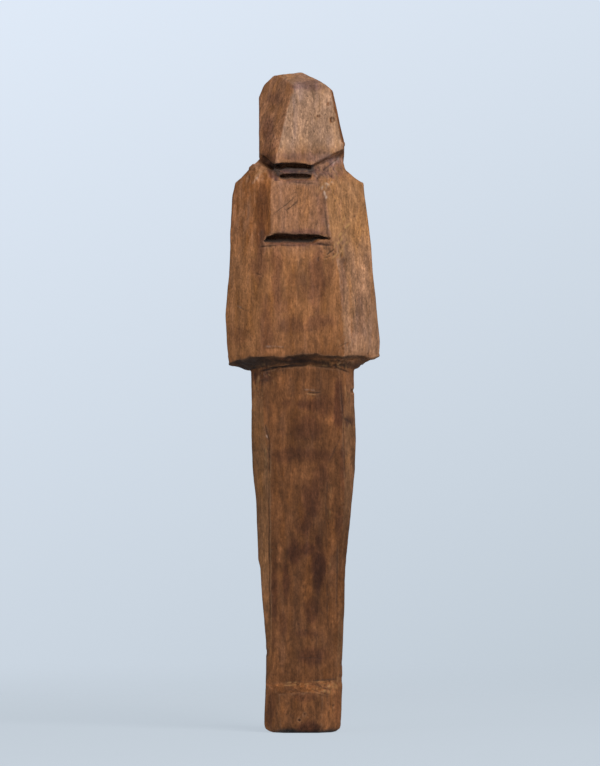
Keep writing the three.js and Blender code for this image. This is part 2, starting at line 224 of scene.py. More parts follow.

# Lighter places on the front, rubbed wood, and under the hem painted light on the ribs: centre, half width
# and height, strength.
FRONT_WORN_AND_LIT = {
    "right temple": ((7.6, 211.0), (2.0, 3.0), 0.4),
    "corner of the cheek": ((-12.6, 208.4), (1.2, 3.0), 0.5),
    "cheek": ((-9.6, 206.0), (1.6, 4.0), 0.7),
    "arris of the face": ((-7.0, 197.0), (1.4, 9.0), 0.5),
    "cheek's arris": ((-8.6, 197.0), (0.8, 5.0), 0.8),
    "chin": ((-4.6, 194.4), (3.6, 2.2), 0.2),
    "right jaw": ((7.4, 190.0), (5.4, 2.4), 1.0),
    "neck, right": ((11.2, 189.4), (2.0, 1.6), 0.5),
    "left shoulder": ((-14.4, 183.4), (3.4, 2.2), 0.5),
    "right arm, high": ((16.0, 168.0), (2.8, 9.0), 0.3),
    "edge of the left arm": ((-22.0, 168.0), (1.4, 12.0), 0.4),
    "left arm, high": ((-17.6, 167.0), (1.4, 5.0), 0.4),
    "right of the slot": ((10.2, 163.0), (2.4, 6.0), 0.5),
    "crumb in the panel's slot": ((-7.0, 162.8), (1.5, 0.5), 0.9),
    "chest below the slot": ((-1.6, 158.8), (8.0, 2.2), 0.5),
    "right arm, pale": ((19.2, 155.0), (2.2, 9.0), 0.8),
    "chest, between the stains": ((-5.6, 152.0), (0.9, 5.0), 0.5),
    "right arm, streak": ((15.8, 141.0), (0.9, 12.0), 0.7),
    "middle of the chest": ((-1.4, 141.0), (2.8, 3.0), 0.6),
    "right corner of the hem": ((20.0, 129.6), (3.8, 2.8), 0.7),
    "hem, left": ((-9.8, 126.8), (5.4, 0.8), 1.0),
    # The ribs and splinters under the hem are lightened as painted light where they catch the light.
    "rib under the hem": ((8.0, 123.8), (6.0, 0.6), 1.0),
    "rib at the hem's right": ((15.6, 123.4), (4.0, 0.7), 0.9),
    "splinters under the hem": ((11.8, 122.6), (3.6, 0.7), 1.0),
    "under the hem": ((3.0, 121.0), (7.0, 0.8), 0.8),
    "corner of the right thigh": ((14.6, 118.4), (1.4, 2.0), 0.8),
    "torn wood on the left thigh": ((-13.4, 117.6), (2.6, 2.2), 0.7),
    "top of the thighs": ((-7.2, 116.4), (2.8, 3.4), 0.8),
    "side of the right thigh": ((14.8, 113.0), (1.0, 5.0), 0.8),
    "thighs, left": ((-3.4, 112.0), (4.6, 1.8), 0.6),
    "thighs, right": ((8.4, 104.2), (3.2, 1.8), 0.9),
    "side of the right knee": ((15.8, 91.0), (1.0, 9.0), 0.9),
    "beside the left knee": ((-12.9, 91.0), (0.8, 7.0), 1.0),
    "knees, left": ((-1.0, 86.6), (4.2, 3.6), 0.8),
    "down the right leg": ((9.6, 76.0), (0.9, 11.0), 1.0),
    "left knee": ((-8.6, 74.0), (2.0, 5.0), 0.6),
    "right of the shins' stain": ((9.8, 62.0), (1.4, 5.0), 0.8),
    "shins, high": ((-7.4, 60.0), (1.4, 3.4), 0.7),
    "right shin": ((9.6, 56.0), (1.6, 7.0), 0.6),
    "left edge of the shins": ((-12.6, 52.0), (1.2, 18.0), 0.7),
    "shins, between the stains": ((1.4, 47.0), (1.6, 4.6), 0.6),
    "right shin, low": ((11.0, 40.0), (1.2, 7.0), 0.6),
    "left ankle, high": ((-9.0, 34.0), (1.6, 4.0), 0.5),
    "ankles, right": ((10.6, 28.0), (1.4, 6.0), 0.5),
    "ankles, left": ((-7.0, 25.0), (2.6, 5.0), 0.6),
    "middle of the ankles": ((-2.6, 22.0), (1.6, 3.4), 0.5),
    "instep, left": ((-3.4, 15.8), (8.4, 0.8), 1.3),
    "instep, right": ((7.2, 14.9), (5.6, 2.0), 1.3),
    "foot, left": ((-5.8, 10.0), (1.9, 3.2), 1.0),
    "foot, right": ((7.6, 5.6), (2.2, 3.6), 0.8),
}

# Where bare pale wood shows in fresh splits and chips: start, end, half width and strength.
FRONT_SPLITS = {
    "edge of the crack, right jaw": ((8.4, 187.6), (12.8, 191.6), 0.7, 0.6),
    "edge of the throat": ((3.4, 186.8), (5.0, 184.6), 0.4, 0.35),
    "chip in the left shoulder": ((-16.4, 183.8), (-12.4, 186.4), 0.9, 0.45),
    "side of the left shoulder's chip": ((-17.4, 181.6), (-15.4, 185.2), 0.6, 0.35),
    "split across the right shoulder": ((7.4, 181.8), (11.8, 183.8), 0.8, 0.7),
    "chip in the right shoulder": ((6.2, 179.8), (8.8, 183.2), 1.2, 1.0),
    "lower split, right shoulder": ((6.8, 180.6), (8.0, 177.0), 0.9, 0.8),
    "end of the long scratch": ((-2.2, 177.2), (-1.0, 178.0), 0.3, 0.5),
    "beside the panel's groove": ((8.6, 172.6), (8.4, 167.0), 0.5, 0.3),
    "curved cut on the left arm": ((-22.0, 142.2), (-19.8, 140.6), 0.3, 0.25),
    "scratch above the hem": ((-13.4, 128.4), (-5.0, 128.3), 0.4, 0.35),
    "splinter under the hem, left": ((-13.6, 119.8), (-12.8, 118.2), 0.35, 0.5),
    "nick on the thighs": ((0.0, 114.0), (4.6, 113.9), 0.4, 0.25),
    "chip on the left knee": ((-12.2, 99.0), (-11.8, 97.8), 0.35, 0.6),
}

# Torn golden fibres on the front: start, end, half width and strength.
FRONT_FIBRES = {
    "chin's right corner": ((4.4, 196.0), (8.6, 192.8), 0.4, 0.4),
    "fifth fibre by the slot": ((10.4, 166.4), (14.4, 171.8), 0.5, 0.8),
    "third fibre by the slot": ((11.2, 163.8), (16.4, 170.4), 0.6, 0.9),
    "second fibre by the slot": ((9.8, 160.2), (15.0, 166.4), 0.6, 1.0),
    "fourth fibre by the slot": ((12.6, 160.4), (17.2, 166.2), 0.5, 0.8),
    "short fibre by the slot": ((10.0, 161.6), (11.8, 163.4), 0.35, 0.8),
    "fibre from the slot's right end": ((8.8, 157.0), (14.0, 161.6), 0.6, 0.9),
    "under the hem": ((0.6, 122.3), (9.4, 121.7), 0.3, 0.7),
    "top of the left thigh": ((-12.4, 119.4), (-9.8, 118.4), 0.4, 0.5),
    "nick on the thighs, below": ((0.8, 112.6), (5.4, 112.5), 0.3, 0.5),
    "left knee": ((-12.3, 96.0), (-12.5, 84.0), 0.35, 0.6),
    "right leg": ((9.4, 84.0), (8.9, 70.0), 0.4, 0.5),
    "right shin": ((8.9, 62.0), (9.3, 44.0), 0.3, 0.4),
    "back of the instep": ((-9.8, 16.4), (11.4, 17.2), 0.4, 0.5),
    "middle of the instep": ((-8.6, 15.6), (4.0, 16.2), 0.35, 0.5),
    "roll of the instep, upper": ((4.6, 16.6), (11.8, 14.6), 0.6, 0.55),
    "right end of the instep": ((9.8, 16.8), (12.6, 14.4), 0.7, 0.4),
    "roll of the instep, lower": ((3.6, 15.0), (11.2, 12.9), 0.6, 0.65),
}

# Where a purple-grey bloom lies on the front: centre, half width and height, strength.
FRONT_PURPLE = {
    "crown": ((-2.0, 216.6), (7.0, 2.6), 0.35),
    "chin": ((-1.0, 191.4), (8.0, 1.4), 0.3),
    "right jaw": ((8.4, 190.6), (5.2, 2.2), 1.0),
    "neck, right": ((7.6, 186.8), (5.0, 3.4), 0.65),
    "neck between the slots": ((-2.4, 186.6), (6.6, 1.2), 1.0),
    "under the throat": ((-1.0, 182.6), (7.0, 1.2), 0.5),
}

# Where the surface is most blotched: centre, half width and height, strength.
FRONT_MOTTLED = {
    "cheek": ((-11.2, 203.0), (3.6, 12.0), 0.5),
    "right shoulder": ((10.0, 184.0), (4.0, 5.0), 0.4),
    "right arm": ((16.6, 150.0), (4.4, 14.0), 0.3),
    "shins": ((0.0, 58.0), (11.0, 14.0), 0.3),
    "ankles": ((0.0, 26.0), (12.0, 8.0), 0.4),
    "foot": ((0.0, 7.0), (12.0, 9.0), 0.9),
}

# Where the wood is torn rough on the front: centre, half width and height, strength.
FRONT_TORN = {
    "chin's right corner": ((7.4, 193.4), (4.0, 1.8), 0.4),
    "throat": ((-1.6, 186.4), (6.6, 1.0), 0.6),
    "neck, right": ((8.6, 186.2), (4.6, 3.6), 0.8),
    "left shoulder": ((-15.6, 184.4), (3.6, 2.4), 0.6),
    "right shoulder": ((8.6, 181.0), (3.4, 3.4), 0.7),
    "right arm, high": ((15.6, 170.6), (4.2, 6.0), 0.4),
    "right of the slot": ((11.4, 160.6), (4.6, 5.4), 0.9),
    "above the hem": ((13.6, 128.6), (4.0, 2.4), 0.4),
    "splinters under the hem, right": ((12.6, 122.4), (4.2, 1.8), 0.7),
    "under the hem, left": ((-11.6, 120.8), (4.4, 1.4), 0.8),
    "top of the left thigh": ((-14.2, 117.0), (3.6, 4.4), 0.7),
    "side of the right thigh": ((16.0, 114.6), (1.4, 4.6), 0.7),
    "left edge of the thigh": ((-16.2, 110.0), (1.6, 6.0), 0.5),
    "edge of the right thigh": ((15.0, 103.4), (2.6, 2.6), 0.5),
    "right end of the instep": ((11.6, 17.0), (2.2, 2.0), 0.45),
    "instep": ((6.4, 15.4), (6.4, 2.4), 0.35),
}

# Where weather has raised the grain most: centre, half width and height, strength.
FRONT_GRAINY = {
    "face": ((1.6, 203.0), (11.0, 12.0), 1.0),
    "cheek": ((-11.0, 202.0), (4.0, 12.0), 1.0),
    "panel": ((-1.0, 174.0), (10.0, 9.0), 0.6),
    "right arm, high": ((14.0, 174.0), (5.0, 9.0), 0.8),
    "right arm": ((18.0, 148.0), (5.0, 26.0), 0.9),
    "left arm": ((-20.0, 148.0), (5.0, 30.0), 0.5),
}

# ---- Colours ---------------------------------------------------------------------------------------

DARK_BROWN = (0.102, 0.039, 0.0142)
LEG_BROWN = (0.123, 0.048, 0.0179)
FOOT_BROWN = (0.119, 0.0455, 0.0162)
RED_BROWN = (0.156, 0.060, 0.0215)
BROWN = (0.205, 0.084, 0.031)
OLIVE_BROWN = (0.192, 0.085, 0.034)
DULL_BROWN = (0.122, 0.055, 0.0237)
ORANGE_BROWN = (0.206, 0.076, 0.024)
HEM_BROWN = (0.194, 0.079, 0.0305)
WARM_BROWN = (0.252, 0.106, 0.040)
TAN = (0.272, 0.120, 0.055)
DUSTY_TAN = (0.256, 0.130, 0.069)
CHEST_BROWN = (0.243, 0.102, 0.0385)
PANEL_TAN = (0.277, 0.127, 0.061)
CHIN_TAN = (0.274, 0.130, 0.063)
GOLDEN = (0.305, 0.145, 0.060)
GREY_TAN = (0.316, 0.180, 0.108)
PURPLE_GREY = (0.200, 0.112, 0.080)
STAIN_AND_SHADE_TINT = (1.0, 0.92, 1.18)
WARMER = (1.0, 0.945, 0.79)
GREYER = (0.94, 1.0, 1.18)
PALE = (0.480, 0.350, 0.275)
GOLD = (0.420, 0.230, 0.085)
# Painted shade inside the knife slots.
SLOT_SHADE = (0.061, 0.043, 0.035)
# Near black: real dirt in the pores, cuts and cracks, and painted shade in hollows, creases, under the hem
# and at the sole.
DIRT_AND_SHADE = (0.020, 0.0155, 0.0132)

# The wood's colour by height, on the left, in front (and behind) and on the right.
# It is lighter from the hem up than on the legs, partly the wood's own tone and partly painted light from
# above; the dark rows at the sole are a painted contact shadow, and the darker right side of the head is
# painted shade.
TONES = (
    # Painted contact shadow along the sole.
    (0, DIRT_AND_SHADE, DIRT_AND_SHADE, DIRT_AND_SHADE),
    (0.5, DIRT_AND_SHADE, DIRT_AND_SHADE, DIRT_AND_SHADE),
    (1.7, RED_BROWN, FOOT_BROWN, RED_BROWN),
    (17, RED_BROWN, FOOT_BROWN, RED_BROWN),
    (30, BROWN, LEG_BROWN, DULL_BROWN),
    (55, OLIVE_BROWN, DARK_BROWN, LEG_BROWN),
    (75, OLIVE_BROWN, LEG_BROWN, DULL_BROWN),
    (98, OLIVE_BROWN, LEG_BROWN, DULL_BROWN),
    (105, OLIVE_BROWN, RED_BROWN, DULL_BROWN),
    (120, RED_BROWN, LEG_BROWN, RED_BROWN),
    (127, WARM_BROWN, HEM_BROWN, DUSTY_TAN),
    (145, WARM_BROWN, CHEST_BROWN, DUSTY_TAN),
    (158, WARM_BROWN, CHEST_BROWN, DUSTY_TAN),
    (166, ORANGE_BROWN, PANEL_TAN, GOLDEN),
    (182, ORANGE_BROWN, PANEL_TAN, GOLDEN),
    (191, BROWN, CHIN_TAN, BROWN),
    # From here up to 212 mm the right column is painted shade on the head's right side.
    (196, TAN, GREY_TAN, RED_BROWN),
    (212, TAN, GREY_TAN, RED_BROWN),
    (220, TAN, DUSTY_TAN, TAN),
)

# ---- Numbers over the surface ----------------------------------------------------------------------


def smooth_step(value, low, high):
    """0 up to low, 1 from high on, smooth in between."""
    t = np.clip((value - low) / (high - low), 0, 1)
    return t * t * (3 - 2 * t)


def hashed(cells, seed):
    """A repeatable number from 0 to 1 for each whole-numbered cell."""
    mixed = cells @ np.array([374761393, 668265263, 1442695041]) + seed * 1274126177
    mixed = (mixed ^ (mixed >> 13)) * 1103515245 & 0xFFFFFFFF
    return ((mixed ^ (mixed >> 16)) & 0xFFFF) / 0xFFFF


def noise(points, size, seed, octaves=1):
    """Smooth random values, about -1 to 1. size is the features' width along x, y and z, in mm."""
    total, weight = np.zeros(len(points)), 0.0
    for octave in range(octaves):
        place = points / size * 2.0**octave
        cell = np.floor(place).astype(np.int64)
        part = place - cell
        ease = part * part * (3 - 2 * part)
        value = np.zeros(len(points))
        for corner in itertools.product((0, 1), repeat=3):
            share = np.where(corner, ease, 1 - ease).prod(1)
            value += share * hashed(cell + corner, seed + octave)
        total += (2 * value - 1) * 0.5**octave
        weight += 0.5**octave
    return total / weight


def scoops(points, size, seed):
    """Overlapping scoops of a knife: 0 at the middle of each, rising to 1 on the ridges between them."""
    place = points / size
    cell = np.floor(place).astype(np.int64)
    nearest = np.ones(len(points))
    for step in itertools.product((-1, 0, 1), repeat=3):
        near = cell + step
        centre = near + np.stack([hashed(near, seed + k) for k in range(3)], 1)
        nearest = np.minimum(nearest, ((centre - place) ** 2).sum(1))
    return nearest


class Front:
    """The front seen flat, on which named marks are laid with wavering lines and ragged borders."""

    def __init__(self, points):
        self.flat = points[:, [0, 2]]
        self.wander = 0.3 * noise(points, (4, 4, 4), 61, 2)
        self.border = noise(points, (2.4, 2.4, 5), 71, 3)

    def line(self, start, end, width):
        """1 along a cut, 0 beyond its half width, thinner towards its ends."""
        start, way = np.array(start), np.subtract(end, start)
        along = ((self.flat - start) @ way) / (way @ way)
        aside = (self.flat - start) @ np.array([-way[1], way[0]]) / np.linalg.norm(way)
        taper = smooth_step(along, -0.05, 0.25) * smooth_step(-along, -1.05, -0.75)
        return taper * np.clip(1 - np.abs(aside + self.wander) / (width * (0.5 + 0.5 * taper)), 0, 1)

    def spot(self, centre, reach, ragged):
        """1 in the middle of a soft spot, 0 outside."""
        away = np.hypot(*((self.flat - centre) / reach).T)
        return smooth_step(-away - ragged * self.border, -1.3, -0.5)

    def strongest(self, places, ragged):
        """The strongest of these places' spots at each point."""
        marks = [power * self.spot(centre, reach, ragged) for centre, reach, power in places.values()]
        return np.max(marks, axis=0)


# ---- The fine mesh ---------------------------------------------------------------------------------


def apply_modifier(piece, kind, **settings):
    """Adds a modifier with these settings and makes its result the piece's own mesh."""
    modifier = piece.modifiers.new(kind.lower(), kind)
    for name, value in settings.items():
        setattr(modifier, name, value)
    seen = piece.evaluated_get(bpy.context.evaluated_depsgraph_get())
    mesh = bpy.data.meshes.new_from_object(seen)
    piece.modifiers.clear()
    old, piece.data = piece.data, mesh
    bpy.data.meshes.remove(old)


def points_of(mesh):
    """The mesh's points, in millimetres."""
    flat = np.zeros(len(mesh.vertices) * 3)
    mesh.vertices.foreach_get("co", flat)
    return flat.reshape(-1, 3) / MM


def set_points(mesh, points):
    mesh.vertices.foreach_set("co", (points * MM).ravel())
    mesh.update()


def normals_of(mesh):
    flat = np.zeros(len(mesh.vertices) * 3)
    mesh.vertex_normals.foreach_get("vector", flat)
    return flat.reshape(-1, 3)


def edges_of(mesh):
    flat = np.zeros(len(mesh.edges) * 2, np.int32)
    mesh.edges.foreach_get("vertices", flat)
    return flat.reshape(-1, 2)


def relaxed(values, edges, steps):
    """Each point's values, averaged with its neighbours' again and again."""
    a, b = edges.T
    count = len(values)
    degree = np.bincount(a, minlength=count) + np.bincount(b, minlength=count)
    values = values.copy()
    for _ in range(steps):
        for column in values.T:
            total = np.bincount(a, column[b], count) + np.bincount(b, column[a], count)
            column += 0.5 * (total / degree - column)
    return values


def hollowness(points, normals, edges, steps):
    """How far the relaxed surface stands off each point: positive in hollows, negative on edges."""
    return ((relaxed(points, edges, steps) - points) * normals).sum(1)


# ---- The carving -----------------------------------------------------------------------------------

# How far each kind of mark lifts the surface, in millimetres, or sinks it where negative.
RELIEF = {
    "scoops": 0.2,
    "dents": 0.13,
    "ripple": 0.06,
    "fretting": 0.05,
    "grain": 0.06,
    "nibbled edges": -0.32,
    "pits": -0.16,
    "cuts": -1.0,
    "torn hem": 0.8,
    "torn wood": 0.6,
    "bare wood": 0.1,
    "golden fibres": 0.15,
}


def bend_lines(points):
    """Lifts the hem in the middle of the front, and lets straight lines waver as a hand cut them."""
    x, y, z = points.T
    front = smooth_step(-y, 2, 10)
    near_hem = np.exp(-(((z - HEM + 1.5) / 5) ** 2))
    arch = HEM_ARCH * np.exp(-(((x - HEM_ARCH_PLACE) / HEM_ARCH_REACH) ** 2)) - HEM_SAG
    points[:, 2] += near_hem * front * (arch + 0.45 * noise(points, (5, 20, 9), 11, 2))
    off_ends = smooth_step(z, 1, 8) * smooth_step(HEIGHT - z, 1, 8)
    for (middle, height), reach, *_, closed in SLOTS.values():
        aside, rise = np.abs(x - middle) / reach[0], z - height
        near = np.exp(-((rise / 2.2) ** 2) - (aside / 1.15) ** 4)
        points[:, 2] += near * front * 0.55 * noise(points, (2.6, 9, 4), 15, 3)
        points[:, 2] -= near * front * closed * smooth_step(aside, 0.5, 1.0) * rise
    for axis, reach in ((0, 0.25), (1, 0.45)):
        points[:, axis] += off_ends * reach * noise(points, (14, 14, 24), 12 + axis, 2)


def cut_marks(front, facing):
    """Depth of the front's named cuts at each point, and how plainly each shows."""
    depth, shown = np.zeros(len(facing)), np.zeros(len(facing))
    for start, end, width, deep in FRONT_CUTS.values():
        here = facing * front.line(start, end, width)
        depth = np.maximum(depth, deep * here)
        shown = np.maximum(shown, min(1, 0.15 + 2 * deep) * smooth_step(here, 0.2, 1.0))
    return depth, shown


def bare_marks(points, front, facing, places):
    """How plainly the bare wood of these splits or fibres shows at each point of the front."""
    flecked = smooth_step(noise(points, (0.8, 0.8, 1.4), 65, 2), -0.2, 0.4)
    lines = [
        power * smooth_step(front.line(start, end, width), 0.0, 0.9)
        for start, end, width, power in places.values()
    ]
    return facing * flecked * np.max(lines, axis=0)


def chip_depth(front):
    """Depth of the front's named chips and pits at each point, with burrs as negative depth."""
    return sum(deep * front.spot(centre, reach, 0.5) for centre, reach, deep in FRONT_CHIPS.values())


def slot_marks(points):
    """Where the front's knife slots open, at any depth, and how dark their floors and back walls are
    painted, as painted shade.
    """
    places, shade_in_slots = [], []
    in_front = smooth_step(-points[:, 1], 4, 7)
    for centre, reach, depths, power, _ in SLOTS.values():
        away = np.abs((points[:, [0, 2]] - centre) / reach).max(1)
        places.append(in_front * smooth_step(-away, -1.1, -0.92))
        shaded = 1 - 0.85 * smooth_step(points[:, 1] - depths[1], 0.8, 3)
        shade_in_slots.append(places[-1] * power * shaded * smooth_step(points[:, 1], *depths))
    return np.max(places, axis=0), np.max(shade_in_slots, axis=0)


def check_marks(points, normals, count=34, seed=5):
    """Depth of the drying cracks, which run up the grain of the back and the sides."""
    random = np.random.default_rng(seed)
    depth = np.zeros(len(points))
    behind = points[normals[:, 1] > -0.3]
    for start in behind[random.integers(len(behind), size=count)]:
        length, width = random.uniform(4, 20), random.uniform(0.12, 0.3)
        rise = points[:, 2] - start[2]
        taper = smooth_step(-np.abs(rise), -length / 2, -length / 6)
        sway = 0.5 * noise(points, (50, 50, 7), seed)[:, None]
        away = np.hypot(*(points[:, :2] - start[:2] + sway).T)
        depth = np.maximum(depth, taper * np.clip(1 - away / (width * 1.6), 0, 1) * width * 1.4)
    return depth


def carving_marks(points, normals, edges):
    """Where each kind of mark lies on the bent blank, as a number for each point."""
    front = Front(points)
    facing = smooth_step(-normals[:, 1], 0.05, 0.45)
    cuts, shown = cut_marks(front, facing)
    in_slot, slot_shade_mark = slot_marks(points)
    ripped = facing * front.strongest(FRONT_TORN, 0.9)
    fibres = noise(points, (1.2, 1.2, 2.6), 49, 3)
    golden = bare_marks(points, front, facing, FRONT_FIBRES)
    underside = smooth_step(-np.abs(points[:, 2] - HEM_UNDERSIDE), -4, -2.4)
    return {
        "arrises": np.clip(-hollowness(points, normals, edges, 6) / 0.12, 0, 1),
        "grainy": facing * front.strongest(FRONT_GRAINY, 0.5),
        "worn_and_lit": facing * front.strongest(FRONT_WORN_AND_LIT, 0.8),
        "ripped": ripped,
        "fibres": fibres,
        "under_hem": underside * smooth_step(-normals[:, 2], 0.0, 0.5),
        "torn_hem": noise(points, (6, 6, 1.4), 47) + 0.4 * noise(points, (2.2, 2.2, 1.2), 48, 2),
        "cuts": cuts,
        "shown": shown,
        "checks": check_marks(points, normals),
        "chips": smooth_step(-normals[:, 1], -0.3, 0.2) * chip_depth(front),
        "pale": bare_marks(points, front, facing, FRONT_SPLITS),
        "golden": np.maximum(golden, 0.45 * ripped * smooth_step(fibres, 0.05, 0.45)),
        "in_slot": in_slot,
        # slot: painted shade inside the knife slots.
        "slot": slot_shade_mark,
    }


def lift(points, marks):
    """How far the marks lift the surface at each point, in millimetres. The sole stays flat."""
    nibble = smooth_step(noise(points, (1.8, 1.8, 2.8), 21, 2), 0.0, 0.6)
    parts = {
        "scoops": scoops(points, (5.0, 5.0, 34), 31) - 0.6,
        "dents": noise(points, (3.2, 3.2, 7), 33, 2),
        "ripple": noise(points, (1.9, 1.9, 38), 41, 2),
        "fretting": noise(points, (1.1, 1.1, 1.9), 44, 2),
        "grain": 0.5 * (1 + marks["grainy"]) * noise(points, (0.8, 0.8, 8), 43, 2),
        "nibbled edges": marks["arrises"] * nibble,
        "pits": smooth_step(noise(points, (0.8, 0.8, 1.8), 45), 0.74, 1.0),
        "cuts": marks["cuts"] + marks["checks"] + marks["chips"],
        "torn hem": marks["under_hem"] * marks["torn_hem"],
        "torn wood": marks["ripped"] * marks["fibres"],
        "bare wood": marks["pale"],
        "golden fibres": marks["golden"],
    }
    height = sum(RELIEF[name] * part for name, part in parts.items())
    return smooth_step(points[:, 2], 0.2, 1.2) * (1 - 0.7 * marks["slot"]) * height


def carve(mesh):
    """Works the smooth blank over, and returns what the material needs to know about each point."""
    points = points_of(mesh)
    bend_lines(points)
    set_points(mesh, points)
    edges, normals = edges_of(mesh), normals_of(mesh)
    marks = carving_marks(points, normals, edges)
    points += normals * lift(points, marks)[:, None]
    set_points(mesh, points)

    x = points[:, 0]
    broad, fine = (hollowness(points, normals, edges, steps) for steps in (40, 4))
    # Painted shade with some grime: in broad hollows and on the slope under the hem, more on the left and
    # less on the right; rubbed wood and the slots keep less of it.
    hem_shade_and_grime = 0.75 - 0.6 * smooth_step(marks["torn_hem"], -0.1, 0.4)
    hem_shade_and_grime += 0.3 * smooth_step(-x, 9, 15) - 0.4 * smooth_step(x, 13, 18)
    kept_shade_and_grime = np.clip(1 - marks["worn_and_lit"], 0, 1) * (1 - 0.65 * marks["in_slot"])
    shade_and_grime = np.maximum(smooth_step(broad, 0.1, 0.8), marks["under_hem"] * hem_shade_and_grime) * kept_shade_and_grime
    checked = 0.75 * np.clip(marks["checks"] / 0.25, 0, 1)
    # Painted shade in the hollows between torn fibres; it darkens with the cuts.
    torn = 0.7 * marks["ripped"] * smooth_step(-marks["fibres"], 0.1, 0.45)
    return {
        "shade_and_grime": np.clip(shade_and_grime, 0, 1),
        "edge": smooth_step(-fine, 0.012, 0.08),
        # Painted shade in the fine creases, stronger in torn wood.
        "crease": smooth_step(fine, 0.012, 0.08) * (1 + 0.7 * marks["ripped"]),
        "cut": np.max([marks["shown"], checked, torn], axis=0),
        **{name: marks[name] for name in ("slot", "grainy", "pale", "golden")},
    }


def tones_at(heights, column):
    """The wood's colour at each height, from the column of TONES for one side of the figure."""
    known = [row[0] for row in TONES]
    colours = np.array([row[column] for row in TONES])
    return np.stack([np.interp(heights, known, channel) for channel in colours.T], 1)


def paint(mesh):
    """The colour of each point before streaks and grain, with painted shade on the head's right side and
    at the sole, and the stains, painted shade and worn and lit spots over it.
    """
    points, normals = points_of(mesh), normals_of(mesh)
    front = Front(points)
    facing = smooth_step(-normals[:, 1], 0.1, 0.6)
    heights = points[:, 2] + 1.5 * noise(points, (5, 5, 5), 81, 2)
    # The side colours are chosen by which way the surface faces, so the head's right side gets its painted
    # shade here.
    left = smooth_step(-normals[:, 0], 0.2, 0.5)[:, None]
    right = smooth_step(normals[:, 0], 0.2, 0.5)[:, None]
    tone = (1 - left - right) * tones_at(heights, 2)
    tone += left * tones_at(heights, 1) + right * tones_at(heights, 3)
    return {
        "tone": np.concatenate([tone, np.ones((len(tone), 1))], 1),
        # stain: real stains, and painted shade under the jaws, on the neck, beside the panel, at its slot
        # and under the hem.
        "stain": facing * front.strongest(FRONT_STAINS_AND_SHADE, 0.7),
        # worn_and_lit: rubbed wood, and painted light on the ribs under the hem.
        "worn_and_lit": facing * front.strongest(FRONT_WORN_AND_LIT, 0.8),
        "mottled": facing * front.strongest(FRONT_MOTTLED, 0.5),
        "purple": facing * front.strongest(FRONT_PURPLE, 0.8),
    }


def add_marks(mesh, marks):
    """Keeps each mark, a number or a colour for every point, where the material can read it."""
    for name, values in marks.items():
        if values.ndim == 1:
            mesh.attributes.new(name, "FLOAT", "POINT").data.foreach_set("value", values)
        else:
            colours = mesh.attributes.new(name, "FLOAT_COLOR", "POINT")
            colours.data.foreach_set("color", values.ravel())


def build_figure():
    piece = bpy.data.objects.new("carved_figure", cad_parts[NODE].data.copy())
    bpy.context.scene.collection.objects.link(piece)
    apply_modifier(piece, "WELD", merge_threshold=0.02 * MM)
    apply_modifier(piece, "REMESH", mode="VOXEL", voxel_size=PITCH * MM)
    apply_modifier(piece, "SMOOTH", factor=0.5, iterations=5)
    add_marks(piece.data, carve(piece.data))
    share = MOST_TRIANGLES / (2 * len(piece.data.polygons))
    if share < 1:
        apply_modifier(piece, "DECIMATE", ratio=share)
    add_marks(piece.data, paint(piece.data))
    piece.data.shade_smooth()
    return piece


# ---- The wood --------------------------------------------------------------------------------------


class Shader:
    """A material's node tree, with short ways to add the few kinds of node that it needs."""

    def __init__(self, name):
        self.material = bpy.data.materials.new(name)
        self.material.use_nodes = True
        self.tree = self.material.node_tree
        self.surface = self.tree.nodes["Principled BSDF"]
        self.place = self.add("ShaderNodeTexCoord").outputs["Object"]

    def add(self, kind, **settings):
        made = self.tree.nodes.new(kind)
        for name, value in settings.items():
            setattr(made, name, value)
        return made

    def plug(self, socket, value):
        """Wires value into the socket if it is another node's output, or else sets it there."""
        if isinstance(value, bpy.types.NodeSocket):
            self.tree.links.new(value, socket)
        else:
            socket.default_value = value

    def math(self, operation, a, b=0.0):
        made = self.add("ShaderNodeMath", operation=operation)
        self.plug(made.inputs[0], a)
        self.plug(made.inputs[1], b)
        return made.outputs[0]

    def ramp(self, value, low, high):
        """0 where value is low or less, 1 where it is high or more."""
        made = self.add("ShaderNodeMapRange", interpolation_type="SMOOTHSTEP")
        for name, number in (("Value", value), ("From Min", low), ("From Max", high)):
            self.plug(made.inputs[name], number)
        return made.outputs["Result"]

    def mark(self, name):
        return self.add("ShaderNodeAttribute", attribute_name=name).outputs["Fac"]

    def tone(self, name):
        return self.add("ShaderNodeAttribute", attribute_name=name).outputs["Color"]

    def scaled(self, colour, factor):
        made = self.add("ShaderNodeVectorMath", operation="SCALE")
        self.plug(made.inputs[0], colour)
        self.plug(made.inputs["Scale"], factor)
        return made.outputs["Vector"]

    def noise(self, across, along, detail, rough, warp):
        """Noise whose features are so wide and so long up the grain, in millimetres."""
        stretch = self.add("ShaderNodeMapping", vector_type="POINT")
        self.plug(stretch.inputs["Vector"], self.place)
        self.plug(stretch.inputs["Scale"], (1 / (across * MM), 1 / (across * MM), 1 / (along * MM)))
        made = self.add("ShaderNodeTexNoise")
        self.plug(made.inputs["Vector"], stretch.outputs["Vector"])
        settings = {"Scale": 1.0, "Detail": detail, "Roughness": rough, "Distortion": warp}
        for name, number in settings.items():
            made.inputs[name].default_value = number
        return made.outputs["Fac"]

    def blend(self, share, a, b, kind="MIX"):
        """Colour b over colour a, by share."""
        made = self.add("ShaderNodeMix", data_type="RGBA", blend_type=kind)
        self.plug(made.inputs[0], share)
        for socket, value in ((made.inputs[6], a), (made.inputs[7], b)):
            self.plug(socket, value if isinstance(value, bpy.types.NodeSocket) else (*value, 1))
        return made.outputs[2]


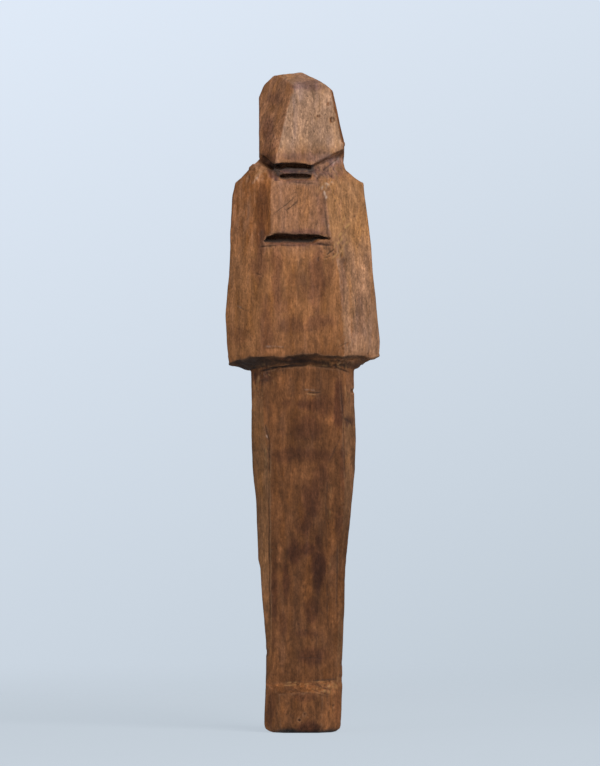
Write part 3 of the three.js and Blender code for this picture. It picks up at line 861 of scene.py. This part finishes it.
# The noises in the wood: width across the grain and length along it in millimetres, detail, roughness
# and distortion.
PATTERNS = {
    "broad": (4.5, 45, 3, 0.5, 0.3),
    "streaks": (1.5, 26, 2, 0.6, 0.0),
    "grain": (0.42, 3.4, 1, 0.5, 0.0),
    "speckle": (0.6, 0.9, 2, 0.6, 0.0),
    "mottle": (1.5, 3.0, 3, 0.6, 0.5),
    "blotch": (3.4, 9, 4, 0.6, 0.5),
    "clouds": (5, 14, 4, 0.6, 0.6),
    "flakes": (3.2, 13, 3, 0.6, 1.2),
    "warmth": (3.6, 16, 3, 0.55, 0.4),
    "specks": (0.55, 1.1, 1, 0.5, 0.0),
}

# How far each pattern changes the brightness, in doublings, and a mark that adds to that.
CONTRASTS = {
    "broad": (1.1, None, 0.0),
    "streaks": (0.9, None, 0.0),
    "grain": (0.7, "grainy", 0.5),
    "speckle": (1.35, "grainy", 0.9),
    "mottle": (1.5, "mottled", 1.6),
    "blotch": (1.22, "grainy", -0.88),
    "clouds": (1.22, "grainy", -0.88),
    "flakes": (0.28, None, 0.0),
}
WORN_LIFT, STAIN_DROP = 0.6, 0.95  # how far wear and painted light lighten and stains and painted shade darken, in doublings

# What lies over the wood, lowest first: the mark that says where, how much of it covers, its colour.
OVERLAYS = (
    ("edge", 0.2, GREY_TAN),
    # crease: painted shade in the fine creases.
    ("crease", 0.3, DIRT_AND_SHADE),
    # shade_and_grime: painted shade with some dirt in the hollows and under the hem.
    ("shade_and_grime", 0.8, DIRT_AND_SHADE),
    ("pale", 0.8, PALE),
    ("golden", 0.7, GOLD),
    # cut: dark knife cuts and drying cracks, and painted shade between torn fibres.
    ("cut", 0.75, DIRT_AND_SHADE),
    # slot: painted shade inside the knife slots.
    ("slot", 1.0, SLOT_SHADE),
)
SHEEN = 0.12
BUMP_DEPTH = 0.2


def wood_brightness(s, patterns, stain_and_shade):
    """How much lighter or darker than its tone the wood is, in doublings."""
    worn_and_lit = s.math("MULTIPLY", s.mark("worn_and_lit"), s.ramp(patterns["mottle"], 0.15, 0.6))
    lift, drop = s.math("MULTIPLY", worn_and_lit, WORN_LIFT), s.math("MULTIPLY", stain_and_shade, STAIN_DROP)
    brightness = s.math("SUBTRACT", lift, drop)
    for name, (reach, mark, more) in CONTRASTS.items():
        if mark:
            reach = s.math("ADD", s.math("MULTIPLY", s.mark(mark), more), reach)
        step = s.math("MULTIPLY", s.math("SUBTRACT", patterns[name], 0.5), reach)
        brightness = s.math("ADD", brightness, step)
    return brightness


def wood_colour(s, patterns):
    """The tone, made lighter and darker, tinted, and covered where dirt, painted shade and bare wood show.
    """
    stain_and_shade = s.math("MULTIPLY", s.mark("stain"), s.ramp(patterns["blotch"], 0.0, 0.45))
    colour = s.blend(s.math("MULTIPLY", s.mark("purple"), 0.8), s.tone("tone"), PURPLE_GREY)
    colour = s.scaled(colour, s.math("POWER", 2.0, wood_brightness(s, patterns, stain_and_shade)))
    colour = s.blend(stain_and_shade, colour, STAIN_AND_SHADE_TINT, "MULTIPLY")
    colour = s.blend(s.ramp(patterns["warmth"], 0.5, 0.72), colour, WARMER, "MULTIPLY")
    colour = s.blend(s.ramp(patterns["warmth"], 0.5, 0.28), colour, GREYER, "MULTIPLY")
    pores = s.math("ADD", s.math("MULTIPLY", s.mark("grainy"), 0.45), 0.28)
    colour = s.blend(s.math("MULTIPLY", s.ramp(patterns["specks"], 0.67, 0.8), pores), colour, DIRT_AND_SHADE)
    for mark, share, over in OVERLAYS:
        colour = s.blend(s.math("MULTIPLY", s.mark(mark), share), colour, over)
    return colour


def wood_bump(s, patterns):
    """The raised grain and the sunken pores that are too fine for the mesh."""
    grain, mottle = s.math("MULTIPLY", patterns["grain"], 0.6), s.math("MULTIPLY", patterns["mottle"], 0.8)
    pores = s.math("MULTIPLY", s.ramp(patterns["specks"], 0.6, 0.74), 0.4)
    bump = s.add("ShaderNodeBump")
    bump.inputs["Strength"].default_value = 1.0
    bump.inputs["Distance"].default_value = BUMP_DEPTH * MM
    s.plug(bump.inputs["Height"], s.math("SUBTRACT", s.math("ADD", grain, mottle), pores))
    return bump.outputs["Normal"]


def old_wood():
    """Old brown wood: streaks up the grain, soft stains, painted shade and dirt in the hollows, rubbed
    edges.
    """
    s = Shader("old_brown_wood")
    patterns = {name: s.noise(*shape) for name, shape in PATTERNS.items()}
    patterns["flakes"] = s.ramp(patterns["flakes"], 0.46, 0.56)
    roughness = s.math("ADD", s.math("MULTIPLY", patterns["blotch"], 0.3), 0.55)
    s.plug(s.surface.inputs["Base Color"], wood_colour(s, patterns))
    s.plug(s.surface.inputs["Roughness"], roughness)
    s.surface.inputs["Specular IOR Level"].default_value = SHEEN
    s.plug(s.surface.inputs["Normal"], wood_bump(s, patterns))
    return s.material


# ---- The stage -------------------------------------------------------------------------------------

FLOOR_RADIUS = 620.0
FLOOR_GREY = (0.09, 0.098, 0.107, 1)
FLOOR_GLOW, GLOW_STRENGTH = (0.80, 0.90, 1.0, 1), 0.585
BACKDROP_LOW, BACKDROP_HIGH = (0.53, 0.60, 0.67, 1), (0.74, 0.82, 0.93, 1)
BACKDROP_TILT = -0.45  # how much darker it grows to the right, against how it does downwards
BACKDROP_RISE = (-0.06, 0.07)  # over what slope of the view it goes from low to high
AMBIENT, AMBIENT_STRENGTH = (0.80, 0.87, 1.0, 1), 0.3
CAMERA_AWAY, CAMERA_LENS = 2400.0, 337.8
CAMERA_AIM = (-0.9, 0.0, 116.2)

# The lamps: place, power in watts, side and colour.
LAMPS = {
    "key": ((880, -1280, 1400), 44, 1300, (1.0, 0.97, 0.94)),
    "fill": ((-1200, -1120, 600), 7, 1300, (1, 1, 1)),
}


def floor_material():
    """A pale matt sheet lit from below, fading out at its rim so that no edge shows."""
    s = Shader("pale_floor")
    s.surface.inputs["Base Color"].default_value = FLOOR_GREY
    s.surface.inputs["Emission Color"].default_value = FLOOR_GLOW
    s.surface.inputs["Emission Strength"].default_value = GLOW_STRENGTH
    s.surface.inputs["Roughness"].default_value = 0.95
    s.surface.inputs["Specular IOR Level"].default_value = 0.05
    length = s.add("ShaderNodeVectorMath", operation="LENGTH")
    s.plug(length.inputs[0], s.place)
    away = length.outputs["Value"]
    s.plug(s.surface.inputs["Alpha"], s.ramp(away, FLOOR_RADIUS * MM, 0.2 * FLOOR_RADIUS * MM))
    return s.material


def add_floor():
    around = np.linspace(0, 2 * np.pi, 96, endpoint=False)
    rim = [(FLOOR_RADIUS * MM * np.cos(a), FLOOR_RADIUS * MM * np.sin(a), LOW.z) for a in around]
    mesh = bpy.data.meshes.new("floor")
    mesh.from_pydata(rim, [], [range(len(rim))])
    mesh.materials.append(floor_material())
    floor = bpy.data.objects.new("floor", mesh)
    bpy.context.scene.collection.objects.link(floor)


def add_lamp(name, place, power, size, colour):
    """A square soft lamp, turned to the middle of the figure."""
    data = bpy.data.lights.new(name, "AREA")
    data.energy, data.size, data.color = power, size * MM, colour
    lamp = bpy.data.objects.new(name, data)
    lamp.location = Vector(place) * MM
    way = Vector((0, 0, HEIGHT / 2)) * MM - lamp.location
    lamp.rotation_euler = way.to_track_quat("-Z", "Y").to_euler()
    bpy.context.scene.collection.objects.link(lamp)


def add_backdrop():
    """A pale blue-grey backdrop for the camera, palest high on the left, and dim light all round."""
    world = bpy.data.worlds.new("backdrop")
    world.use_nodes = True
    nodes, links = world.node_tree.nodes, world.node_tree.links
    shown, ambient = nodes["Background"], nodes.new("ShaderNodeBackground")
    way, split = nodes.new("ShaderNodeTexCoord"), nodes.new("ShaderNodeSeparateXYZ")
    rise, shades = nodes.new("ShaderNodeMapRange"), nodes.new("ShaderNodeMix")
    tilt = nodes.new("ShaderNodeMath")
    tilt.operation = "MULTIPLY_ADD"
    tilt.inputs[1].default_value = BACKDROP_TILT
    rise.inputs["From Min"].default_value, rise.inputs["From Max"].default_value = BACKDROP_RISE
    shades.data_type = "RGBA"
    shades.inputs[6].default_value = BACKDROP_LOW
    shades.inputs[7].default_value = BACKDROP_HIGH
    links.new(way.outputs["Generated"], split.inputs[0])
    links.new(split.outputs["X"], tilt.inputs[0])
    links.new(split.outputs["Z"], tilt.inputs[2])
    links.new(tilt.outputs[0], rise.inputs["Value"])
    links.new(rise.outputs["Result"], shades.inputs[0])
    links.new(shades.outputs[2], shown.inputs["Color"])
    ambient.inputs["Color"].default_value = AMBIENT
    ambient.inputs["Strength"].default_value = AMBIENT_STRENGTH
    mix, path = nodes.new("ShaderNodeMixShader"), nodes.new("ShaderNodeLightPath")
    links.new(path.outputs["Is Camera Ray"], mix.inputs[0])
    links.new(ambient.outputs[0], mix.inputs[1])
    links.new(shown.outputs[0], mix.inputs[2])
    links.new(mix.outputs[0], nodes["World Output"].inputs["Surface"])
    bpy.context.scene.world = world


def add_camera():
    data = bpy.data.cameras.new("camera")
    data.lens = CAMERA_LENS
    camera = bpy.data.objects.new("camera", data)
    x, y, z = CAMERA_AIM
    camera.location = Vector((x, y - CAMERA_AWAY, z)) * MM
    camera.rotation_euler = (np.pi / 2, 0, 0)
    bpy.context.scene.collection.objects.link(camera)
    bpy.context.scene.camera = camera


# ---- The scene -------------------------------------------------------------------------------------

figure = build_figure()
figure.data.materials.clear()
figure.data.materials.append(old_wood())
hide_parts(NODE)
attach(figure, "root")

add_floor()
for name, settings in LAMPS.items():
    add_lamp(name, *settings)
add_backdrop()
add_camera()
bpy.context.scene.view_settings.view_transform = "Standard"
